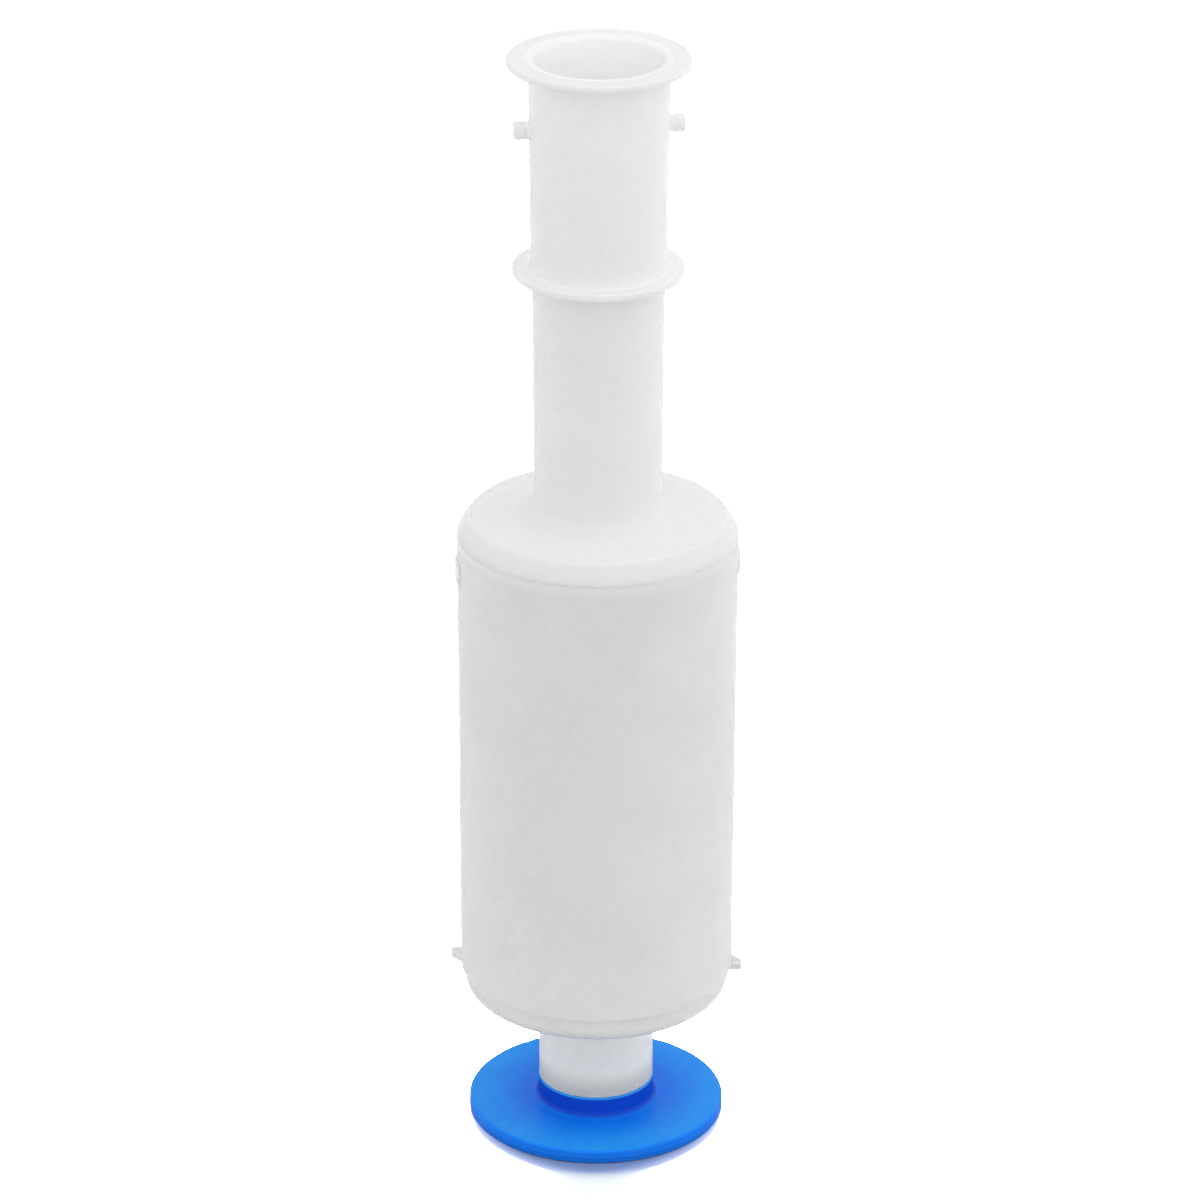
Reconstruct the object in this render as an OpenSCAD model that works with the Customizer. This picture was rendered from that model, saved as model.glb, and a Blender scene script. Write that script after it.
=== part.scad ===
// Stem of a cistern flush valve: a soft sealing disc on the foot of an overflow pipe,
// a hollow float that slides along the pipe, and a lift sleeve that plugs into the float's neck.
// Millimetres, +Z up. The origin is the centre of the sealing disc's underside.

/* [Sealing disc] */
// Diameter of the soft sealing disc
disc_d = 62; // [58:0.5:80]
// Thickness of the disc
disc_t = 3.3; // [2.4:0.1:4]
// Rounding of the disc's upper edge
disc_edge_r = 0.8; // [0.3:0.1:1]
// Rounding of the disc's lower edge
disc_lower_edge_r = 0.4; // [0.2:0.1:0.6]
// Height of the hub above the disc
hub_h = 5.2; // [3.5:0.1:8]
// Wall of the hub around the pipe's foot
hub_wall = 1.2; // [1:0.1:1.8]
// Fillet at the foot of the hub
hub_fillet_r = 1.6; // [0.5:0.1:2.5]

/* [Seal retainer] */
// Diameter of the flange let into the disc's underside
retainer_d = 33.6; // [31:0.2:40]
// Thickness of that flange
retainer_t = 1; // [0.8:0.1:1.3]
// How far the flange lies inside the disc's underside
retainer_inset = 0.2; // [0.1:0.1:0.3]
// Length of the spigot inside the pipe's foot
retainer_spigot_h = 7; // [5:0.5:8]
// Wall of the spigot
retainer_wall = 1.1; // [0.9:0.1:1.5]
// Height of the snap bead above the flange
bead_h = 4.5; // [3:0.25:5]
// How far the snap bead stands proud of the spigot
bead_proud = 0.25; // [0.15:0.05:0.35]

/* [Overflow pipe] */
// Outer diameter of the overflow pipe
pipe_d = 27.7; // [25:0.1:32]
// Wall of the pipe
pipe_wall = 1.5; // [1.3:0.1:2]
// How far the pipe's foot steps in to carry the hub
foot_step = 0.95; // [0.7:0.05:1.2]
// Wall of the pipe's foot
foot_wall = 1.5; // [1.2:0.1:2]
// Length of the cone between the foot's bore and the pipe's bore
bore_cone_h = 2.5; // [1:0.5:5]
// Thickness of the stop ring
stop_ring_t = 1.5; // [1:0.1:2]
// How far the stop ring stands proud of the pipe
stop_ring_proud = 0.4; // [0.3:0.05:0.5]
// Depth of the stop ring's groove
stop_groove_depth = 0.6; // [0.4:0.1:0.7]
// Opening of the split in the stop ring
stop_split_angle = 24; // [10:2:60]
// Distance of the pipe's O-ring below the pipe's upper end
pipe_seal_drop = 3.5; // [2.5:0.5:6]

/* [Float can] */
// Gap between the disc's upper face and the can's floor
can_gap = 29.4; // [20:0.2:40]
// Diameter of the can at its upper edge
can_d = 66.6; // [60:0.1:80]
// Height of the can from floor to shoulder
can_h = 124.6; // [100:0.2:160]
// Wall of the can
can_wall = 1.2; // [1:0.1:1.6]
// Thickness of the can's floor
floor_t = 1.6; // [1.2:0.1:2.4]
// Moulding draft of the can's wall, in degrees
can_draft = 0.2; // [0:0.05:0.4]
// How far the can steps in below the lugs
can_step = 1; // [0.6:0.1:1.5]
// Height of the stepped-in part above the floor
can_step_h = 7; // [6:0.2:10]
// Rounding of the can's lower edge
can_foot_r = 4.1; // [2.5:0.1:5]
// Depth of the floor's socket for the guide tube
floor_socket_h = 12; // [8:0.5:16]

/* [Lugs] */
// How far a lug stands out from the can's wall
lug_reach = 2.5; // [1.5:0.1:3]
// Thickness of a lug
lug_t = 1.8; // [1:0.1:2.5]
// Length of a lug along the wall
lug_len = 6.4; // [5:0.2:9]
// Length of a lug's tip, the rest of the lug tapers away
lug_tip_len = 2; // [1.4:0.2:4]
// Turn of the pair of lugs about the axis, in degrees
lug_turn = -1.7; // [-10:0.1:10]

/* [Float cap] */
// Height of the shoulder's slanted band
shoulder_h = 4.6; // [3:0.1:5.5]
// How far the band leans in from the can's wall
shoulder_lean = 3.2; // [2:0.1:5]
// Radius to which the band is bowed out
shoulder_bow_r = 16; // [8:1:40]
// Thickness of the shoulder
cap_t = 1.4; // [1.2:0.1:2]
// Chamfer of the cup's rim at the seam
rim_chamfer = 0.15; // [0.1:0.05:0.4]
// Wall of the skirt inside the can
skirt_wall = 2; // [1.8:0.1:2.4]
// Length of the skirt
skirt_h = 14; // [12.5:0.5:18]
// Drop of the gasket below the seam
gasket_drop = 2; // [1.5:0.1:2.4]
// Drop of the snap noses' upper face below the seam
nose_drop = 5.6; // [3.2:0.2:6.4]
// Height of a snap nose
nose_h = 5.8; // [5:0.2:7]
// Width of a snap nose
nose_w = 7; // [4:0.5:9]
// How far a snap nose stands proud of the can's wall
nose_proud = 0.5; // [0.2:0.1:0.8]
// Turn of the pair of snap noses about the axis, in degrees
nose_turn = 8; // [-20:0.5:20]
// Height of the neck above the shoulder
neck_h = 60.6; // [50:0.1:80]
// Wall of the neck at its foot
neck_wall = 0.95; // [0.9:0.05:1.4]
// Moulding draft of the neck, in degrees
neck_draft = 0.42; // [0:0.02:0.6]
// Fillet at the neck's foot
neck_fillet_r = 5; // [2:0.5:7]
// Length of the bore below the shoulder in which the pipe's O-ring runs
neck_bore_drop = 12.6; // [11:0.2:16]
// Depth of the cap's socket for the guide tube
cap_socket_h = 12; // [8:0.5:16]

/* [Guide tube] */
// Wall of the guide tube
tube_wall = 1; // [0.8:0.1:1.4]
// Room between the guide tube's bore and the pipe
tube_gap = 0.7; // [0.7:0.05:1]
// Length of the guide bush
bush_h = 8; // [6:0.5:12]
// Wall of the sockets that hold the guide tube
socket_wall = 2.35; // [2.1:0.05:3]

/* [Lift sleeve] */
// Length of the sleeve's tube between collar and flange
sleeve_h = 48.8; // [40:0.1:70]
// Wall of the sleeve
sleeve_wall = 1.4; // [1.1:0.1:1.8]
// Moulding draft of the sleeve, in degrees
sleeve_draft = 0.68; // [0:0.02:0.8]
// How far the sleeve steps out from the neck's upper end
sleeve_step = 0.3; // [0.2:0.05:0.8]
// Thickness of the collar
collar_t = 1.7; // [1:0.1:3]
// How far the collar stands out from the sleeve
collar_reach = 4.3; // [3:0.05:6]
// Fillet on top of the collar
collar_fillet_r = 0.8; // [0.3:0.1:1.5]
// Thickness of the top flange
flange_t = 1.6; // [1.2:0.1:2.5]
// How far the top flange stands out from the sleeve
flange_reach = 4.95; // [3:0.05:7]
// Fillet under the top flange
flange_fillet_r = 0.6; // [0.3:0.1:1.5]
// Rounding of the mouth
mouth_lip_r = 1; // [0.4:0.1:1]
// Rounding of the rims of collar and flange
rim_r = 0.4; // [0.2:0.05:0.45]
// Length of the spigot inside the neck
spigot_h = 30; // [22:0.5:36]
// Wall of the spigot
spigot_wall = 1.6; // [1.5:0.1:2]
// Distance of the spigot's O-ring above the spigot's lower end
spigot_seal_rise = 3; // [2:0.5:5]
// Diameter of a lift pin
pin_d = 4.4; // [3:0.1:6]
// Distance between the tips of the two lift pins
pin_span = 39.8; // [38:0.1:48]
// Rounding of a lift pin's end
pin_end_r = 0.6; // [0.3:0.1:1]
// Fillet at the foot of a lift pin
pin_fillet_r = 0.4; // [0.3:0.1:1]
// Drop of the lift pins' axis below the mouth
pin_drop = 16.7; // [10:0.2:30]
// Turn of the lift pins about the axis, in degrees
pin_turn = 9.4; // [-20:0.2:20]

/* [Travel] */
// How far the float can rise before it meets the stop ring
float_rise = 8; // [4:0.5:9]
// Gap that is left at either end of the float's travel
float_rest_gap = 0.2; // [0.1:0.1:0.5]
// Gap that is left between the pipe's upper end and the spigot when the float is down
spigot_rest_gap = 1.2; // [0.5:0.1:3]

/* [Fits] */
// Radial clearance of a running fit
run_gap = 0.08; // [0.04:0.01:0.1]
// Radial clearance of a seal that slides or turns
seal_gap = 0.05; // [0.02:0.01:0.08]
// Radial clearance of parts that pass each other freely
free_gap = 0.3; // [0.2:0.05:0.4]
// Clearance of parts that are pushed together once
push_gap = 0.05; // [0.02:0.01:0.1]
// Section diameter of the O-rings
o_ring_d = 1.1; // [1:0.05:1.2]
// Side play of an O-ring in its groove
o_ring_play = 0.1; // [0.06:0.02:0.2]
// Size of the small lead-in chamfers
lead_in = 0.4; // [0.2:0.1:0.5]

/* [Hidden] */
$fn = 96;
arc_steps = 8;
cut = 1;

// Radii, from the pipe outwards
pipe_r = pipe_d / 2;
pipe_bore_r = pipe_r - pipe_wall;
foot_r = pipe_r - foot_step;
foot_bore_r = foot_r - foot_wall;
hub_r = foot_r + hub_wall;
retainer_r = retainer_d / 2;
recess_r = retainer_r + free_gap;
neck_bore_r = pipe_r + free_gap;
tube_bore_r = pipe_r + tube_gap;
tube_r = tube_bore_r + tube_wall;
socket_r = tube_r + socket_wall;
tube_seal_r = tube_r + o_ring_d;
neck_foot_r = neck_bore_r + neck_wall;
neck_top_r = neck_foot_r + neck_h * tan(neck_draft);
sleeve_low_r = neck_top_r + sleeve_step;
mouth_tube_r = sleeve_low_r + sleeve_h * tan(sleeve_draft);
mouth_bore_r = mouth_tube_r - sleeve_wall;
collar_r = sleeve_low_r + collar_reach;
flange_r = mouth_tube_r + flange_reach;
spigot_r = neck_bore_r - run_gap;
spigot_bore_r = spigot_r - spigot_wall;
neck_seal_r = neck_bore_r - seal_gap - o_ring_d;
seal_groove_r = neck_seal_r - seal_gap;

// Heights, from the disc's underside upwards
foot_z = retainer_inset + retainer_t;
hub_top = disc_t + hub_h;
can_z = disc_t + can_gap;
floor_top = can_z + floor_t;
step_z = can_z + can_step_h;
can_top = can_z + can_h;
seam_z = can_top - shoulder_h;
skirt_z = seam_z - skirt_h;
tube_top = can_top - neck_bore_drop;
neck_top = can_top + neck_h;
collar_top = neck_top + collar_t;
flange_z = collar_top + sleeve_h;
mouth_z = flange_z + flange_t;
pin_z = mouth_z - pin_drop;
spigot_z = neck_top - spigot_h;

// Radii of the can
can_r = can_d / 2;
can_low_r = can_r - (seam_z - step_z) * tan(can_draft);
can_foot_wall_r = can_low_r - can_step;
cup_mouth_r = can_r - can_wall;
can_brow_r = can_r - shoulder_lean;
skirt_r = cup_mouth_r - push_gap;
gasket_seat_r = cup_mouth_r - o_ring_d;

// Travel of the float, and the pipe's upper end and stop that go with it
float_drop = can_z - hub_top - float_rest_gap;
pipe_top = spigot_z - float_drop - spigot_rest_gap;
pipe_seal_z = pipe_top - pipe_seal_drop;
spigot_seal_z = spigot_z + spigot_seal_rise;
bush_top = floor_top + bush_h;
stop_ring_z = bush_top + float_rise + float_rest_gap;
stop_groove_r = pipe_r - stop_groove_depth;
stop_ring_r = pipe_r + stop_ring_proud;

// Points of an arc about a centre, from one angle to another
function arc(centre, r, from, to) = [
    for (i = [0:arc_steps])
        centre + r * [cos(from + (to - from) * i / arc_steps), sin(from + (to - from) * i / arc_steps)]
];

// Fillet outside a tube of radius wall_r, on the face at height z; a negative r lies below the face
function inner_corner(wall_r, z, r, from, to) = arc([wall_r + abs(r), z + r], r, from, to);

// Points of an arc of radius r that bows out to the left of the way from first to last
function bow(first, last, r) =
    let(
        half = (last - first) / 2,
        centre = first + half + [half.y, -half.x] * sqrt(pow(r / norm(half), 2) - 1),
        out = first - centre,
        back = last - centre
    )
    arc(centre, r, atan2(out.y, out.x), atan2(back.y, back.x));

// Four points of a rectangular groove in a wall, listed from its first side to its second
function groove(wall_r, floor_r, first_z, second_z) = [
    [wall_r, first_z], [floor_r, first_z], [floor_r, second_z], [wall_r, second_z]
];

// Groove of an O-ring that lies at height z
function o_ring_groove_up(wall_r, floor_r, z) =
    groove(wall_r, floor_r, z - o_ring_d / 2 - o_ring_play / 2, z + o_ring_d / 2 + o_ring_play / 2);
function o_ring_groove_down(wall_r, floor_r, z) =
    groove(wall_r, floor_r, z + o_ring_d / 2 + o_ring_play / 2, z - o_ring_d / 2 - o_ring_play / 2);

// O-ring with a given inner radius, at height z
module o_ring(inner_r, z) {
    rotate_extrude()
        translate([inner_r + o_ring_d / 2, z])
            circle(d = o_ring_d, $fn = 24);
}

// Places its children and a copy turned by half a turn
module pair(turn) {
    for (half = [0, 180])
        rotate([0, 0, turn + half])
            children();
}

module overflow_pipe() {
    bead_z = foot_z + bead_h;
    color("whitesmoke")
        rotate_extrude()
            polygon(concat(
                [
                    [foot_r, foot_z], [foot_r, hub_top],
                    [pipe_r - lead_in / 2, hub_top], [pipe_r, hub_top + lead_in / 2]
                ],
                groove(pipe_r, stop_groove_r, stop_ring_z - run_gap, stop_ring_z + stop_ring_t + run_gap),
                o_ring_groove_up(pipe_r, seal_groove_r, pipe_seal_z),
                [
                    [pipe_r, pipe_top - lead_in], [pipe_r - lead_in, pipe_top],
                    [pipe_bore_r + lead_in, pipe_top], [pipe_bore_r, pipe_top - lead_in],
                    [pipe_bore_r, hub_top + foot_wall + bore_cone_h],
                    [foot_bore_r, hub_top + foot_wall],
                    [foot_bore_r, bead_z + bead_proud + push_gap],
                    [foot_bore_r + bead_proud + push_gap, bead_z],
                    [foot_bore_r, bead_z - bead_proud - push_gap],
                    [foot_bore_r, foot_z]
                ]
            ));
}

module sealing_disc() {
    disc_r = disc_d / 2;
    color("dodgerblue")
        rotate_extrude()
            polygon(concat(
                [[foot_r, foot_z], [recess_r, foot_z], [recess_r, 0]],
                arc([disc_r - disc_lower_edge_r, disc_lower_edge_r], disc_lower_edge_r, -90, 0),
                arc([disc_r - disc_edge_r, disc_t - disc_edge_r], disc_edge_r, 0, 90),
                arc([hub_r + hub_fillet_r, disc_t + hub_fillet_r], hub_fillet_r, -90, -180),
                [[hub_r, hub_top - lead_in], [hub_r - lead_in, hub_top], [foot_r, hub_top]]
            ));
}

module seal_retainer() {
    bore_r = foot_bore_r - retainer_wall;
    bead_z = foot_z + bead_h;
    spigot_top = foot_z + retainer_spigot_h;
    color("white")
        rotate_extrude()
            polygon([
                [bore_r + lead_in, retainer_inset], [retainer_r, retainer_inset],
                [retainer_r, foot_z], [foot_bore_r, foot_z],
                [foot_bore_r, bead_z - bead_proud], [foot_bore_r + bead_proud, bead_z],
                [foot_bore_r, bead_z + bead_proud], [foot_bore_r, spigot_top - lead_in],
                [foot_bore_r - lead_in, spigot_top], [bore_r, spigot_top],
                [bore_r, retainer_inset + lead_in]
            ]);
}

module pipe_o_ring() {
    color("gainsboro") o_ring(neck_seal_r, pipe_seal_z);
}

module stop_ring() {
    inner_r = stop_groove_r + run_gap;
    color("white")
        rotate([0, 0, 90 + stop_split_angle / 2])
            rotate_extrude(angle = 360 - stop_split_angle)
                translate([inner_r, stop_ring_z])
                    square([stop_ring_r - inner_r, stop_ring_t]);
}

// One bayonet lug on the +X side: square at one end, tapering away at the other
module lug() {
    root_r = can_foot_wall_r - can_wall / 4;
    tip_r = can_low_r + lug_reach;
    translate([0, 0, step_z - lug_t / 2])
        linear_extrude(lug_t)
            polygon([
                [root_r, -lug_len / 2], [tip_r, -lug_len / 2],
                [tip_r, lug_tip_len - lug_len / 2], [root_r, lug_len / 2]
            ]);
}

// Snap nose on the +X side that follows the can's curve, or the window that it snaps into
module snap_nose(inner_r, outer_r, gap) {
    low_z = seam_z - nose_drop - nose_h - gap;
    height = nose_h + 2 * gap;
    intersection() {
        translate([inner_r, -nose_w / 2 - gap, low_z])
            cube([outer_r - inner_r, nose_w + 2 * gap, height]);
        translate([0, 0, low_z])
            cylinder(r = outer_r, h = height);
    }
}

module float_cup() {
    inner_foot_r = can_foot_r - can_wall;
    color("whitesmoke")
        difference() {
            union() {
                rotate_extrude()
                    polygon(concat(
                        [[neck_bore_r, can_z]],
                        arc([can_foot_wall_r - can_foot_r, can_z + can_foot_r], can_foot_r, -90, 0),
                        [
                            [can_foot_wall_r, step_z], [can_low_r, step_z],
                            [can_r, seam_z - rim_chamfer], [can_r - rim_chamfer, seam_z],
                            [cup_mouth_r, seam_z], [cup_mouth_r, skirt_z],
                            [can_low_r - can_wall, step_z + can_wall],
                            [can_foot_wall_r - can_wall, step_z]
                        ],
                        arc([can_foot_wall_r - can_foot_r, floor_top + inner_foot_r], inner_foot_r, 0, -90),
                        [
                            [socket_r, floor_top], [socket_r, floor_top + floor_socket_h],
                            [tube_r + lead_in, floor_top + floor_socket_h],
                            [tube_r, floor_top + floor_socket_h - lead_in]
                        ],
                        o_ring_groove_down(tube_r, tube_seal_r, floor_top + floor_socket_h / 2),
                        [[tube_r, floor_top], [neck_bore_r, floor_top]]
                    ));
                pair(lug_turn) lug();
            }
            pair(nose_turn) snap_nose(skirt_r - skirt_wall, can_r + cut, push_gap);
        }
}

module float_cap() {
    under_r = skirt_r - skirt_wall;
    under_z = can_top - cap_t;
    under_fillet_r = under_z - seam_z;
    socket_z = tube_top - cap_socket_h;
    color("whitesmoke")
        union() {
            rotate_extrude()
                polygon(concat(
                    [
                        [neck_bore_r, neck_top - lead_in], [neck_bore_r + lead_in, neck_top],
                        [neck_top_r, neck_top]
                    ],
                    arc([neck_foot_r + neck_fillet_r, can_top + neck_fillet_r], neck_fillet_r, 180, 270),
                    bow([can_brow_r, can_top], [can_r, seam_z], shoulder_bow_r),
                    [[skirt_r, seam_z]],
                    o_ring_groove_down(skirt_r, gasket_seat_r, seam_z - gasket_drop),
                    [
                        [skirt_r, skirt_z + lead_in], [skirt_r - lead_in, skirt_z],
                        [under_r, skirt_z]
                    ],
                    arc([under_r - under_fillet_r, seam_z], under_fillet_r, 0, 90),
                    [
                        [socket_r, under_z], [socket_r, socket_z],
                        [tube_r + lead_in, socket_z], [tube_r, socket_z + lead_in]
                    ],
                    o_ring_groove_up(tube_r, tube_seal_r, tube_top - cap_socket_h / 2),
                    [[tube_r, tube_top], [neck_bore_r, tube_top]]
                ));
            pair(nose_turn) snap_nose(skirt_r - skirt_wall / 2, can_r + nose_proud, 0);
        }
}

module guide_tube() {
    color("whitesmoke")
        rotate_extrude()
            translate([tube_bore_r, floor_top])
                square([tube_wall, tube_top - floor_top]);
}

module cap_gasket() {
    color("gainsboro") o_ring(gasket_seat_r, seam_z - gasket_drop);
}

module upper_tube_o_ring() {
    color("gainsboro") o_ring(tube_r, tube_top - cap_socket_h / 2);
}

module lower_tube_o_ring() {
    color("gainsboro") o_ring(tube_r, floor_top + floor_socket_h / 2);
}

module guide_bush() {
    bore_r = pipe_r + run_gap;
    color("white")
        rotate_extrude()
            polygon([
                [bore_r, floor_top + lead_in], [bore_r + lead_in, floor_top],
                [tube_bore_r, floor_top], [tube_bore_r, bush_top],
                [bore_r + lead_in, bush_top], [bore_r, bush_top - lead_in]
            ]);
}

// Lift pin on the +X side, with a rounded end and a fillet at its foot
module lift_pin() {
    pin_r = pin_d / 2;
    flare_r = pin_r + pin_fillet_r;
    root_r = sleeve_low_r - sleeve_wall / 2;
    wall_r = sleeve_low_r + (pin_z - collar_top) * tan(sleeve_draft);
    flare_h = sqrt(pow(wall_r, 2) - pow(flare_r, 2)) - root_r;
    length = pin_span / 2 - root_r;
    translate([root_r, 0, pin_z])
        rotate([0, 90, 0])
            rotate_extrude()
                polygon(concat(
                    [[0, 0], [flare_r, 0]],
                    arc([flare_r, flare_h + pin_fillet_r], pin_fillet_r, 270, 180),
                    arc([pin_r - pin_end_r, length - pin_end_r], pin_end_r, 0, 90),
                    [[0, length]]
                ));
}

module lift_sleeve() {
    color("whitesmoke")
        union() {
            rotate_extrude()
                polygon(concat(
                    [[spigot_r - lead_in, spigot_z], [spigot_r, spigot_z + lead_in]],
                    o_ring_groove_up(spigot_r, seal_groove_r, spigot_seal_z),
                    [[spigot_r, neck_top]],
                    arc([collar_r - rim_r, neck_top + rim_r], rim_r, -90, 0),
                    arc([collar_r - rim_r, collar_top - rim_r], rim_r, 0, 90),
                    inner_corner(sleeve_low_r, collar_top, collar_fillet_r, 270, 180),
                    inner_corner(mouth_tube_r, flange_z, -flange_fillet_r, 0, -90),
                    arc([flange_r - rim_r, flange_z + rim_r], rim_r, -90, 0),
                    arc([flange_r - rim_r, mouth_z - rim_r], rim_r, 0, 90),
                    arc([mouth_bore_r + mouth_lip_r, mouth_z - mouth_lip_r], mouth_lip_r, 90, 180),
                    [
                        [sleeve_low_r - sleeve_wall, collar_top + spigot_wall],
                        [spigot_bore_r, collar_top - spigot_wall], [spigot_bore_r, spigot_z]
                    ]
                ));
            pair(pin_turn) lift_pin();
        }
}

module sleeve_o_ring() {
    color("gainsboro") o_ring(neck_seal_r, spigot_seal_z);
}

overflow_pipe();
sealing_disc();
seal_retainer();
pipe_o_ring();
stop_ring();
float_cup();
float_cap();
guide_tube();
cap_gasket();
upper_tube_o_ring();
lower_tube_o_ring();
guide_bush();
lift_sleeve();
sleeve_o_ring();
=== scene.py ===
import math

import bmesh
import bpy
from mathutils import Matrix, Vector


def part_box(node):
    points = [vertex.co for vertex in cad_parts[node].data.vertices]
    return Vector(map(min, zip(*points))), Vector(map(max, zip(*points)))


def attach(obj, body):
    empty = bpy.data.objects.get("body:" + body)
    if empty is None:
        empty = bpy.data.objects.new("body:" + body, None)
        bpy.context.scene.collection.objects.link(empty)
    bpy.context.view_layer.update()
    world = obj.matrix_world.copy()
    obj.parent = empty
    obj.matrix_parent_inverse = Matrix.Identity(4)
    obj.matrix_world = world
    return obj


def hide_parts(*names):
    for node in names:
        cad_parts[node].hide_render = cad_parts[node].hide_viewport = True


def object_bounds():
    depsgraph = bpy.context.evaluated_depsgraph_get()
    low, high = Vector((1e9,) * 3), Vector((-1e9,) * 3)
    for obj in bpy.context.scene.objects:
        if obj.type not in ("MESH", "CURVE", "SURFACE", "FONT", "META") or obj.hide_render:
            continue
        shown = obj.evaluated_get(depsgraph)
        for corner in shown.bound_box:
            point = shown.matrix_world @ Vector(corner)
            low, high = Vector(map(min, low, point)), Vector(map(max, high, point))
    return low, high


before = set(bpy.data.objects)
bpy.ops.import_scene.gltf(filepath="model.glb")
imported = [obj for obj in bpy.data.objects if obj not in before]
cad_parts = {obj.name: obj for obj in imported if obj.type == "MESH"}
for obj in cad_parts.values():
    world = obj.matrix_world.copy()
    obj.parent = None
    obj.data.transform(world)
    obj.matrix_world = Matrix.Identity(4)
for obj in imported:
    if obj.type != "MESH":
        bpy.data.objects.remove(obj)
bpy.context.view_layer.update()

MM = 0.001
WHITE = (1, 1, 1, 1)

# The photograph's camera, fitted to the outlines of disc, can, collar and flange
CAMERA_PLACE = Vector((0.0006, -1.2789, 0.70165))
CAMERA_DOWN = math.radians(23.9)
CAMERA_ROLL = math.radians(0.2)
SENSOR_MM = 36.0
LENS_MM = 177.3

# Sizes of the disc, and the height of the seam between cup and cap, from their boxes
DISC_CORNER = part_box("sealing_disc")[1]
DISC_R = DISC_CORNER.x
HUB_TOP = DISC_CORNER.z
SEAM_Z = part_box("float_cup")[1].z

# Sizes of part.scad that no node's box gives, in metres
FOOT_R = 12.9 * MM
HUB_WALL = 1.2 * MM
HUB_R = FOOT_R + HUB_WALL
DISC_T = 3.3 * MM
RECESS_R = 17.1 * MM
RECESS_H = 1.2 * MM
PIN_TURN = math.radians(9.4)
LUG_TURN = math.radians(-1.7)
NOSE_TURN = math.radians(8.0)

# Edges that turn by more than this stay sharp, and points nearer than this are one point
SHARP_CORNER = math.radians(30)
SAME_POINT = 0.001 * MM

# The room's light, and how it grows to the right, to the front and downwards
ROOM_LIGHT = 1.0
ROOM_BRIGHTER_TOWARDS = (0.10, -0.19, -0.15)

# The floor: its reach each way, how far it lies under the part, what the camera sees of it, the grey
# that it throws back at the part, where it turns to plain white, and the power of its own lamp
FLOOR_REACH = 6.0
FLOOR_DROP = 0.02 * MM
# Painted light: the floor's blue tint shows only in the object's shadow, for the blue light that the disc
# passes onto it
FLOOR_COLOUR = (0.49, 0.525, 0.565)
FLOOR_GLOSS = 0.5
FLOOR_ROUGHNESS = 0.2
FLOOR_BOUNCE = 0.17
FLOOR_WHITE_FROM = 0.5
FLOOR_WHITE_AT = 1.0
FLOOR_LAMP = 600


def grey(level):
    return (level, level, level)


# ------------------------------------------------------------------- nodes

class Graph:
    """A node tree, with short ways to add its nodes and to link or set their sockets."""

    def __init__(self, tree):
        self.tree = tree

    def node(self, kind, **settings):
        made = self.tree.nodes.new(kind)
        for name, value in settings.items():
            setattr(made, name, value)
        return made

    def put(self, socket, value):
        """Links an output to a socket, or sets a constant on it."""
        if isinstance(value, bpy.types.NodeSocket):
            self.tree.links.new(value, socket)
        else:
            socket.default_value = value

    def fill(self, made, **values):
        """Links or sets a node's sockets by their names, with _ for a space."""
        for name, value in values.items():
            self.put(made.inputs[name.replace("_", " ")], value)
        return made

    def shader(self, kind, **values):
        return self.fill(self.node(kind), **values).outputs[0]

    def mixed(self, factor, first, second):
        """The first shader where factor is 0, and the second where it is 1."""
        made = self.node("ShaderNodeMixShader")
        for socket, value in zip(made.inputs, (factor, first, second)):
            self.put(socket, value)
        return made.outputs[0]

    def math(self, operation, first, second=0.0):
        made = self.node("ShaderNodeMath", operation=operation)
        for socket, value in zip(made.inputs, (first, second)):
            self.put(socket, value)
        return made.outputs[0]

    def length(self, vector):
        made = self.node("ShaderNodeVectorMath", operation="LENGTH")
        self.put(made.inputs[0], vector)
        return made.outputs["Value"]

    def fall(self, value, start, stop):
        """1 up to start, falling smoothly to 0 at stop."""
        made = self.node("ShaderNodeMapRange", interpolation_type="SMOOTHSTEP")
        self.fill(made, Value=value, From_Min=start, From_Max=stop, To_Min=1.0, To_Max=0.0)
        return made.outputs[0]


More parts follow.
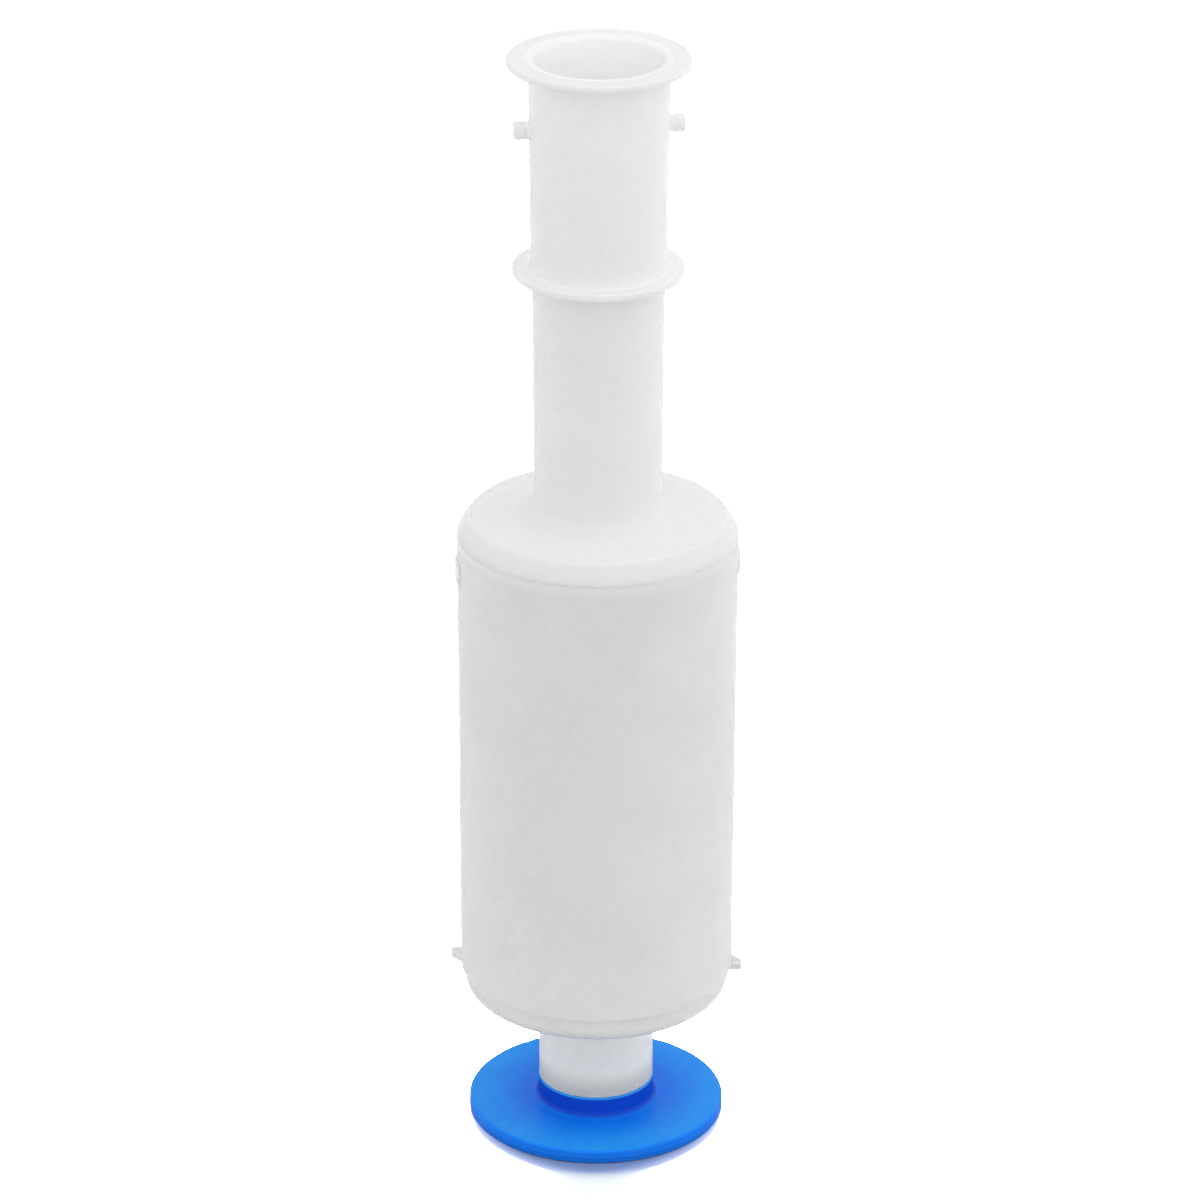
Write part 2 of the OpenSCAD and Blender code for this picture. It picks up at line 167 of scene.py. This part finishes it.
class Finish(Graph):
    """A material around one Principled shader, in the part's own coordinates."""

    def __init__(self, name):
        self.material = bpy.data.materials.new(name)
        self.material.use_nodes = True
        super().__init__(self.material.node_tree)
        self.principled = self.tree.nodes["Principled BSDF"]
        self.place = self.node("ShaderNodeTexCoord").outputs["Object"]
        self.height = None

    def noise(self, size, detail=2.0, squeeze=(1, 1, 1)):
        """Noise with features about size metres across; a squeeze under 1 draws them out along an axis."""
        mapping = self.node("ShaderNodeMapping")
        self.fill(mapping, Vector=self.place, Scale=Vector(squeeze) / size)
        made = self.node("ShaderNodeTexNoise")
        self.fill(made, Vector=mapping.outputs[0], Scale=1.0, Detail=detail)
        return made.outputs["Fac"]

    def between(self, factor, low, high, start=0.3, stop=0.7):
        """Maps a factor in start..stop, where most of a noise lies, to low..high."""
        made = self.node("ShaderNodeMapRange")
        self.fill(made, Value=factor, From_Min=start, From_Max=stop, To_Min=low, To_Max=high)
        return made.outputs[0]

    def mix_base(self, factor, first, second):
        """Makes the base colour a mix: first where factor is 0, second where it is 1."""
        made = self.node("ShaderNodeMix", data_type="RGBA")
        self.fill(made, Factor=factor, A=first, B=second)
        self.put(self.principled.inputs["Base Color"], made.outputs["Result"])

    def colour(self, factor, dark, light):
        self.mix_base(self.between(factor, 0.0, 1.0), (*dark, 1), (*light, 1))

    def tint(self, factor, colour, strength=1.0):
        """Mixes the base colour so far with another, by a factor from 0 to 1 times strength."""
        if strength < 1.0:
            factor = self.math("MULTIPLY", factor, strength)
        so_far = self.principled.inputs["Base Color"].links[0].from_socket
        self.mix_base(factor, so_far, (*colour, 1))

    def roughness(self, factor, smooth, rough):
        self.put(self.principled.inputs["Roughness"], self.between(factor, smooth, rough))

    def relief(self, factor, depth):
        """Adds a factor's relief, depth metres high, to the surface."""
        part = self.math("MULTIPLY", factor, depth)
        self.height = part if self.height is None else self.math("ADD", self.height, part)

    def within(self, near, far):
        """1 within near of the part's axis, falling smoothly to 0 at far."""
        flat = self.node("ShaderNodeVectorMath", operation="MULTIPLY")
        self.put(flat.inputs[0], self.place)
        self.put(flat.inputs[1], (1, 1, 0))
        return self.fall(self.length(flat.outputs[0]), near, far)

    def beyond(self, near, far):
        """0 within near of the part's axis, rising smoothly to 1 at far."""
        return self.math("SUBTRACT", 1.0, self.within(near, far))

    def below(self, low, high):
        """1 below low on the part's axis, falling smoothly to 0 at high."""
        split = self.node("ShaderNodeSeparateXYZ")
        self.put(split.inputs[0], self.place)
        return self.fall(split.outputs["Z"], low, high)

    def above(self, low, high):
        """0 below low on the part's axis, rising smoothly to 1 at high."""
        return self.math("SUBTRACT", 1.0, self.below(low, high))

    def parting_line(self, turn, depth, width):
        """A fine ridge where the mould's halves met, in the upright plane at this angle."""
        split = self.node("ShaderNodeSeparateXYZ")
        self.put(split.inputs[0], self.place)
        off_plane = self.math("ABSOLUTE", self.math(
            "SUBTRACT",
            self.math("MULTIPLY", split.outputs["X"], math.sin(turn)),
            self.math("MULTIPLY", split.outputs["Y"], math.cos(turn))))
        ridge = self.between(off_plane, low=1.0, high=0.0, start=0.0, stop=width)
        facing = self.node("ShaderNodeSeparateXYZ")
        self.put(facing.inputs[0], self.node("ShaderNodeNewGeometry").outputs["Normal"])
        upright = self.math("SUBTRACT", 1.0, self.math("ABSOLUTE", facing.outputs["Z"]))
        self.relief(self.math("MULTIPLY", ridge, upright), depth)

    def done(self, **values):
        """Sets the shader's constants by socket name and adds the relief as a bump."""
        self.fill(self.principled, **values)
        if self.height is not None:
            bump = self.node("ShaderNodeBump")
            self.fill(bump, Distance=1.0, Height=self.height)
            self.put(self.principled.inputs["Normal"], bump.outputs[0])
        return self.material


# ---------------------------------------------------------------- materials

def natural_pp(name, dark, light, parting_turn, shading=None, free_path=0.9 * MM, specular=0.3):
    """Milky polypropylene: satin skin, faint clouds and flow lines, and a parting line."""
    finish = Finish(name)
    clouds = finish.noise(size=24 * MM, detail=3.0)
    flow = finish.noise(size=2.2 * MM, squeeze=(1, 1, 0.06))
    peel = finish.noise(size=0.9 * MM, detail=3.0)
    finish.colour(clouds, dark, light)
    if shading:
        shading(finish)
    finish.roughness(flow, smooth=0.42, rough=0.48)
    finish.relief(peel, depth=0.003 * MM)
    finish.relief(flow, depth=0.002 * MM)
    finish.relief(clouds, depth=0.03 * MM)
    finish.parting_line(parting_turn, depth=0.05 * MM, width=0.16 * MM)
    return finish.done(
        IOR=1.49, Specular_IOR_Level=specular, Subsurface_Weight=1.0, Subsurface_Radius=(1.0, 1.0, 1.0),
        Subsurface_Scale=free_path)


def painted_shade_at_foot(finish):
    """Painted shade: the pipe's colour greys towards its foot by the hub."""
    foot = finish.below(9 * MM, 17 * MM)
    finish.tint(foot, (0.66, 0.64, 0.56), strength=0.9)


def painted_light_at_rim(finish):
    """Painted light: the cup's colour is paler towards its rim, where light gets in at the seam."""
    towards_rim = finish.above(SEAM_Z - 3.7 * MM, SEAM_Z - 0.3 * MM)
    finish.tint(towards_rim, grey(0.87))
    rim = finish.above(SEAM_Z - 0.5 * MM, SEAM_Z - 0.1 * MM)
    finish.tint(rim, grey(0.96))


def painted_shade_and_light_on_cap(finish):
    """Painted shade greys the cap outside its brow and round the neck's foot; painted light makes it palest
    next to the seam.
    """
    outside_brow = finish.beyond(29.4 * MM, 30.8 * MM)
    finish.tint(outside_brow, grey(0.86))
    seam_edge = finish.below(SEAM_Z + 0.2 * MM, SEAM_Z + 0.6 * MM)
    finish.tint(seam_edge, grey(0.97))
    neck = finish.within(17 * MM, 21 * MM)
    low_down = finish.below(160 * MM, 192 * MM)
    finish.tint(finish.math("MULTIPLY", neck, low_down), grey(0.87))


def painted_light_and_shade_on_sleeve(finish):
    """Painted light makes the sleeve whitest in its bore; painted shade makes its collar and flange greyer
    than the tube.
    """
    bore = finish.within(15.05 * MM, 15.55 * MM)
    finish.tint(bore, grey(1.0))
    flanges = finish.beyond(16.7 * MM, 17.4 * MM)
    finish.tint(flanges, grey(0.865))


def blue_silicone():
    """Blue silicone: smooth, slightly cloudy skin with a soft gloss; painted shade and painted light on its
    rim, middle and hub.
    """
    finish = Finish("blue_silicone")
    clouds = finish.noise(size=9 * MM, detail=4.0)
    skin = finish.noise(size=0.5 * MM, detail=3.0)
    finish.colour(clouds, dark=(0.006, 0.30, 0.97), light=(0.010, 0.335, 1.0))
    # Painted shade: the rim's side is a deeper blue
    rim = finish.beyond(DISC_R - 0.7 * MM, DISC_R)
    finish.tint(rim, (0.008, 0.215, 1.0))
    # Painted shade: darker towards the hub, and darkest in the corner at its foot
    middle = finish.within(15 * MM, 30 * MM)
    finish.tint(middle, (0.003, 0.05, 0.90), strength=0.4)
    hub_corner = finish.within(HUB_R + 0.1 * MM, HUB_R + 1.3 * MM)
    finish.tint(hub_corner, (0.002, 0.03, 0.50), strength=0.8)
    # Painted light: the hub's top edge is a lighter blue
    hub_lip = finish.above(HUB_TOP - 0.6 * MM, HUB_TOP - 0.1 * MM)
    finish.tint(hub_lip, (0.03, 0.36, 0.95))
    finish.roughness(skin, smooth=0.34, rough=0.44)
    finish.relief(skin, depth=0.004 * MM)
    finish.relief(clouds, depth=0.03 * MM)
    return finish.done(IOR=1.41, Specular_IOR_Level=0.16)


def clear_silicone():
    """Translucent silicone of the rings: soft, slightly milky."""
    finish = Finish("clear_silicone")
    clouds = finish.noise(size=3 * MM, detail=3.0)
    finish.colour(clouds, dark=(0.74, 0.76, 0.76), light=(0.80, 0.82, 0.82))
    finish.roughness(clouds, smooth=0.34, rough=0.46)
    finish.relief(finish.noise(size=0.4 * MM), depth=0.004 * MM)
    return finish.done(IOR=1.41, Transmission_Weight=0.25)


def white_acetal():
    """Opaque white acetal of the small inner parts: satin, very faintly cloudy."""
    finish = Finish("white_acetal")
    clouds = finish.noise(size=5 * MM, detail=3.0)
    finish.colour(clouds, dark=(0.80, 0.80, 0.79), light=(0.86, 0.86, 0.85))
    finish.roughness(clouds, smooth=0.36, rough=0.48)
    finish.relief(finish.noise(size=0.6 * MM, detail=3.0), depth=0.005 * MM)
    return finish.done(IOR=1.48)


# ------------------------------------------------------------------ shapes

def arc(centre_r, centre_z, r, start, stop, steps=12):
    """Points (radius, height) of an arc, from one angle to another, in degrees."""
    return [
        (centre_r + r * math.cos(math.radians(start + (stop - start) * i / steps)),
         centre_z + r * math.sin(math.radians(start + (stop - start) * i / steps)))
        for i in range(steps + 1)
    ]


def line(first, last, steps):
    """Points between two profile points, ends left out, so that long faces stay short."""
    return [
        (first[0] + (last[0] - first[0]) * i / steps, first[1] + (last[1] - first[1]) * i / steps)
        for i in range(1, steps)
    ]


def turned(name, profile, segments):
    """A closed surface of revolution about Z from a closed profile of (radius, height)."""
    shape = bmesh.new()
    rings = []
    for k in range(segments):
        angle = 2 * math.pi * k / segments
        rings.append([
            shape.verts.new((r * math.cos(angle), r * math.sin(angle), z)) for r, z in profile])
    for k, ring in enumerate(rings):
        following = rings[(k + 1) % segments]
        for i in range(len(profile)):
            j = (i + 1) % len(profile)
            shape.faces.new((ring[i], following[i], following[j], ring[j]))
    bmesh.ops.recalc_face_normals(shape, faces=shape.faces)
    for edge in shape.edges:
        edge.smooth = edge.calc_face_angle() < SHARP_CORNER
    for face in shape.faces:
        face.smooth = True
    mesh = bpy.data.meshes.new(name)
    shape.to_mesh(mesh)
    shape.free()
    made = bpy.data.objects.new(name, mesh)
    bpy.context.scene.collection.objects.link(made)
    return made


def smooth_shading():
    """Nodes that join a mesh's split points and leave only its sharp corners sharp."""
    group = bpy.data.node_groups.new("smooth_shading", "GeometryNodeTree")
    for way in ("INPUT", "OUTPUT"):
        group.interface.new_socket("Geometry", in_out=way, socket_type="NodeSocketGeometry")
    nodes, links = group.nodes, group.links
    joined = nodes.new("GeometryNodeMergeByDistance")
    joined.inputs["Distance"].default_value = SAME_POINT
    bare = nodes.new("GeometryNodeRemoveAttribute")
    bare.inputs["Name"].default_value = "custom_normal"
    rounded = nodes.new("GeometryNodeSetShadeSmooth")
    corner = nodes.new("FunctionNodeCompare")
    corner.inputs["B"].default_value = SHARP_CORNER
    links.new(nodes.new("GeometryNodeInputMeshEdgeAngle").outputs["Unsigned Angle"], corner.inputs["A"])
    crisp = nodes.new("GeometryNodeSetShadeSmooth")
    crisp.domain = "EDGE"
    crisp.inputs["Shade Smooth"].default_value = False
    links.new(corner.outputs["Result"], crisp.inputs["Selection"])
    chain = [nodes.new("NodeGroupInput"), joined, bare, rounded, crisp, nodes.new("NodeGroupOutput")]
    for before, after in zip(chain, chain[1:]):
        links.new(before.outputs[0], after.inputs[0])
    return group


def shade_smooth(node, group):
    """Shades a CAD node's curved faces as one smooth surface; its shape stays as it is."""
    node.modifiers.new("smooth_shading", "NODES").node_group = group
    weighted = node.modifiers.new("weighted_normals", "WEIGHTED_NORMAL")
    weighted.keep_sharp = True


def sealing_disc(finish):
    """The soft disc with its hub: rounded rim with a parting line, and the nib of its gate."""
    fillet_r, top_r, bottom_r, lip_r = 1.6 * MM, 0.8 * MM, 0.4 * MM, 0.45 * MM
    line_z, line_half, line_out = 1.5 * MM, 0.12 * MM, 0.05 * MM
    top = arc(DISC_R - top_r, DISC_T - top_r, top_r, 0, 90)
    foot = arc(HUB_R + fillet_r, DISC_T + fillet_r, fillet_r, 270, 180)
    profile = (
        [(FOOT_R, RECESS_H)]
        + line((FOOT_R, RECESS_H), (RECESS_R, RECESS_H), steps=4)
        + [(RECESS_R, RECESS_H), (RECESS_R, 0.0)]
        + line((RECESS_R, 0.0), (DISC_R - bottom_r, 0.0), steps=12)
        + arc(DISC_R - bottom_r, bottom_r, bottom_r, -90, 0, steps=6)
        + [(DISC_R, line_z - line_half), (DISC_R + line_out, line_z), (DISC_R, line_z + line_half)]
        + top
        + line(top[-1], foot[0], steps=20)
        + foot
        + arc(HUB_R - lip_r, HUB_TOP - lip_r, lip_r, 0, 90, steps=6)
        + [(FOOT_R, HUB_TOP)]
        + line((FOOT_R, HUB_TOP), (FOOT_R, RECESS_H), steps=6)
    )
    disc = turned("sealing_disc_moulding", profile, segments=720)
    nib_x, nib_below_top = -0.7 * MM, 0.7 * MM
    nib_place = Vector((nib_x, -DISC_R, DISC_T - nib_below_top))
    add_nib(disc.data, nib_place, reach=0.75 * MM, height=0.3 * MM)
    disc.data.materials.append(finish)
    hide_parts("sealing_disc")
    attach(disc, "valve_stem")


def add_nib(mesh, place, reach, height):
    """Raises a small rounded nib on the rim, up and outwards, where the gate was torn off."""
    slant = 0.7
    for vertex in mesh.vertices:
        far = (vertex.co - place).length / reach
        if far < 1:
            outwards = Vector((vertex.co.x, vertex.co.y, 0)).normalized()
            lean = outwards * slant + Vector((0, 0, slant))
            vertex.co += lean * height * (1 - far * far) ** 2


# ------------------------------------------------------------------- scene

def make_camera():
    lens = bpy.data.cameras.new("camera")
    lens.sensor_width = SENSOR_MM
    lens.lens = LENS_MM
    lens.clip_start, lens.clip_end = 0.01, 50.0
    camera = bpy.data.objects.new("camera", lens)
    bpy.context.scene.collection.objects.link(camera)
    camera.matrix_world = (
        Matrix.Translation(CAMERA_PLACE)
        @ Matrix.Rotation(math.pi / 2 - CAMERA_DOWN, 4, "X")
        @ Matrix.Rotation(CAMERA_ROLL, 4, "Z"))
    bpy.context.scene.camera = camera


def make_softbox(name, place, aim, width, height, power):
    """A lamp with a rectangular face, at place and aimed at aim, that the camera doesn't see."""
    lamp = bpy.data.lights.new(name, "AREA")
    lamp.shape = "RECTANGLE"
    lamp.size, lamp.size_y = width, height
    lamp.energy = power
    box = bpy.data.objects.new(name, lamp)
    bpy.context.scene.collection.objects.link(box)
    box.location = place
    box.rotation_euler = (Vector(aim) - Vector(place)).to_track_quat("-Z", "Y").to_euler()
    box.visible_camera = False
    return box


def seen_directly(graph):
    """1 for rays that show the room itself: from the camera, in gloss and through glass."""
    path = graph.node("ShaderNodeLightPath").outputs
    seen = graph.math("MAXIMUM", path["Is Camera Ray"], path["Is Glossy Ray"])
    return graph.math("MAXIMUM", seen, path["Is Transmission Ray"])


def make_world():
    """A white room for the eye; as a light it is a little brighter from the right, in front and below."""
    world = bpy.data.worlds.new("room")
    bpy.context.scene.world = world
    world.use_nodes = True
    world.node_tree.nodes.clear()
    graph = Graph(world.node_tree)
    towards = graph.node("ShaderNodeVectorMath", operation="DOT_PRODUCT")
    graph.put(towards.inputs[0], graph.node("ShaderNodeTexCoord").outputs["Generated"])
    graph.put(towards.inputs[1], ROOM_BRIGHTER_TOWARDS)
    level = graph.math("ADD", towards.outputs["Value"], ROOM_LIGHT)
    light = graph.shader("ShaderNodeBackground", Color=WHITE, Strength=level)
    white = graph.shader("ShaderNodeBackground", Color=WHITE, Strength=1.0)
    room = graph.mixed(seen_directly(graph), light, white)
    graph.fill(graph.node("ShaderNodeOutputWorld"), Surface=room)


def floor_material():
    """To the camera a pale floor with the object's shadow, and white far off; a grey board to other rays."""
    material = bpy.data.materials.new("pale_floor")
    material.use_nodes = True
    material.node_tree.nodes.clear()
    graph = Graph(material.node_tree)
    board = graph.shader("ShaderNodeBsdfDiffuse", Color=(*grey(FLOOR_BOUNCE), 1))
    matt = graph.shader("ShaderNodeBsdfDiffuse", Color=(*FLOOR_COLOUR, 1))
    gloss = graph.shader("ShaderNodeBsdfGlossy", Color=WHITE, Roughness=FLOOR_ROUGHNESS)
    polished = graph.mixed(FLOOR_GLOSS, matt, gloss)
    white = graph.shader("ShaderNodeEmission", Strength=1.0)
    from_centre = graph.length(graph.node("ShaderNodeTexCoord").outputs["Object"])
    close_by = graph.fall(from_centre, FLOOR_WHITE_FROM, FLOOR_WHITE_AT)
    shown = graph.mixed(close_by, white, polished)
    path = graph.node("ShaderNodeLightPath").outputs
    surface = graph.mixed(path["Is Camera Ray"], board, shown)
    graph.fill(graph.node("ShaderNodeOutputMaterial"), Surface=surface)
    return material


def make_floor():
    """A large floor just under the part, with a lamp of its own that lights nothing else."""
    shape = bmesh.new()
    bmesh.ops.create_grid(shape, x_segments=8, y_segments=8, size=FLOOR_REACH)
    mesh = bpy.data.meshes.new("floor")
    shape.to_mesh(mesh)
    shape.free()
    mesh.materials.append(floor_material())
    floor = bpy.data.objects.new("floor", mesh)
    bpy.context.scene.collection.objects.link(floor)
    floor.location.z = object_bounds()[0].z - FLOOR_DROP
    lit = bpy.data.collections.new("lit_by_floor_lamp")
    lit.objects.link(floor)
    lamp = make_softbox(
        "softbox_floor", place=(0, 1.6, 0.7), aim=(0, 0, 0), width=5.0, height=0.9, power=FLOOR_LAMP)
    lamp.light_linking.receiver_collection = lit


make_camera()
make_world()
make_floor()
make_softbox("softbox_right", place=(0.95, 0.15, 0.55), aim=(0, 0, 0.13), width=0.7, height=0.9, power=0.3)
make_softbox("softbox_left", place=(-0.95, 0.15, 0.55), aim=(0, 0, 0.13), width=0.7, height=0.9, power=0.1)
make_softbox("softbox_top", place=(0, 0.6, 1.1), aim=(0, 0, 0.1), width=0.9, height=0.7, power=0.3)

BLUE_SILICONE = blue_silicone()
# All these are one milky polypropylene: the cup's darker grey is painted shade for the dim inside seen
# through its wall, the sleeve's near-white is painted light, and the pipe's yellowish tone is painted to
# cancel the blue light the disc throws on it
FINISHES = {
    "overflow_pipe": natural_pp(
        "natural_pp_pipe", (0.99, 0.96, 0.86), (1.0, 0.97, 0.87), parting_turn=0.0, shading=painted_shade_at_foot),
    "float_cup": natural_pp(
        "natural_pp_cup", grey(0.80), grey(0.84), parting_turn=LUG_TURN, shading=painted_light_at_rim),
    "float_cap": natural_pp(
        "natural_pp_cap", grey(0.90), grey(0.94), parting_turn=NOSE_TURN, shading=painted_shade_and_light_on_cap,
        specular=0.1),
    "guide_tube": natural_pp("natural_pp_tube", grey(0.86), grey(0.90), parting_turn=0.0),
    "lift_sleeve": natural_pp(
        "natural_pp_sleeve", grey(0.96), grey(0.98), parting_turn=PIN_TURN, shading=painted_light_and_shade_on_sleeve,
        free_path=2.0 * MM, specular=0.1),
}
CLEAR_SILICONE = clear_silicone()
WHITE_ACETAL = white_acetal()
for ring in ("pipe_o_ring", "cap_gasket", "upper_tube_o_ring", "lower_tube_o_ring", "sleeve_o_ring"):
    FINISHES[ring] = CLEAR_SILICONE
for small in ("seal_retainer", "stop_ring", "guide_bush"):
    FINISHES[small] = WHITE_ACETAL
FINISHES["sealing_disc"] = BLUE_SILICONE
SMOOTH_SHADING = smooth_shading()
for node, finish in FINISHES.items():
    for material_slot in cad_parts[node].material_slots:
        material_slot.material = finish
    shade_smooth(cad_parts[node], SMOOTH_SHADING)

sealing_disc(BLUE_SILICONE)

bpy.context.scene.view_settings.view_transform = "Standard"
# Pale plastic passes light on many times before it is lost
bpy.context.scene.cycles.diffuse_bounces = 12
